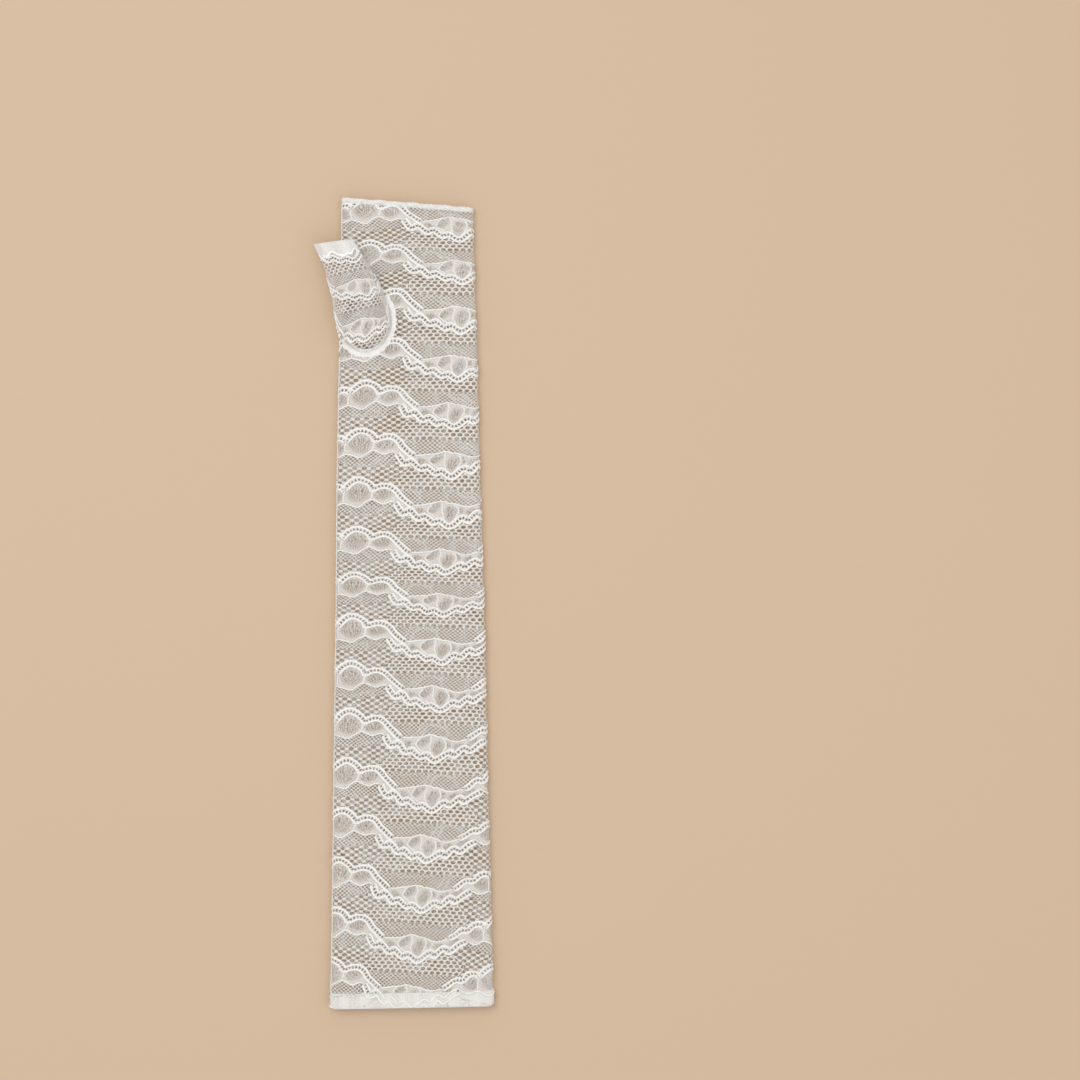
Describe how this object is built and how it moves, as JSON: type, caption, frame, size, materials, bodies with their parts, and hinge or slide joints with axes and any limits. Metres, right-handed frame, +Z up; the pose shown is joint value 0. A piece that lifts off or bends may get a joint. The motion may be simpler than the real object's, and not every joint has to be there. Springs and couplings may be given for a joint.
{
  "type": "fingerless lace evening mitten, opera length",
  "caption": "Opera-length fingerless evening mitten of stretch lace: a tapered tube with hemmed ends and a sewn-in open thumb, lying flat.",
  "frame": {"origin": "on the surface that the mitten lies on, below the middle of its outline", "axes": "+Y from the arm edge to the finger edge, +X towards the little finger side, +Z up out of the palm side"},
  "size_m": [0.1162, 0.526, 0.0182],
  "materials": {
    "lace": "soft white stretch lace with net ground and corded petals",
    "hem": "turned lace hem, two layers, whiter and matt",
    "seam": "overlocked white thread seam"
  },
  "bodies": {
    "root": {"sleeve": "lace", "thumb": "lace", "thumb_seam": "seam", "thumb_hem": "hem", "finger_hem": "hem", "arm_hem": "hem", "side_seam": "seam", "hand_seam": "seam"}
  },
  "joints": []
}
